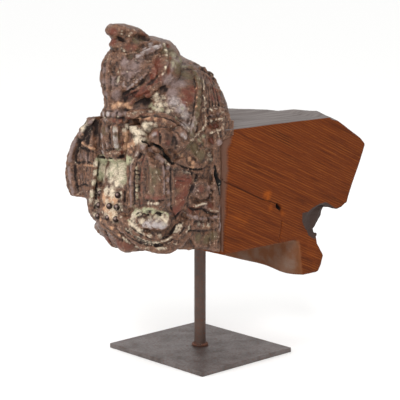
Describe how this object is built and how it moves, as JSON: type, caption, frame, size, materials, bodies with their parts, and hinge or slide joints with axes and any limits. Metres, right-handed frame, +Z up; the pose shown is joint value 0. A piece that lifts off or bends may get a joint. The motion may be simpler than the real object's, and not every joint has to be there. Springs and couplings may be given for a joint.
{
  "type": "carved wooden bracket on a stand",
  "caption": "Timber bracket end carved as a horse's head and forequarters in harness, sawn off at the tail and held upright on a steel rod and foot plate.",
  "frame": {"origin": "on the rod's axis, at the underside of the foot plate", "axes": "+Z up the rod, -Y towards the carved front, +Y towards the sawn tail, +X towards the side with the open mouth and the crack"},
  "size_m": [0.1424, 0.3066, 0.3448],
  "materials": {
    "timber": "weathered hardwood with worn paint on the carving and bare sawn sides",
    "steel": "dark brown oxidised mild steel"
  },
  "bodies": {
    "root": {"carved_bracket": "timber", "stand_rod": "steel", "stand_plate": "steel"}
  },
  "joints": []
}
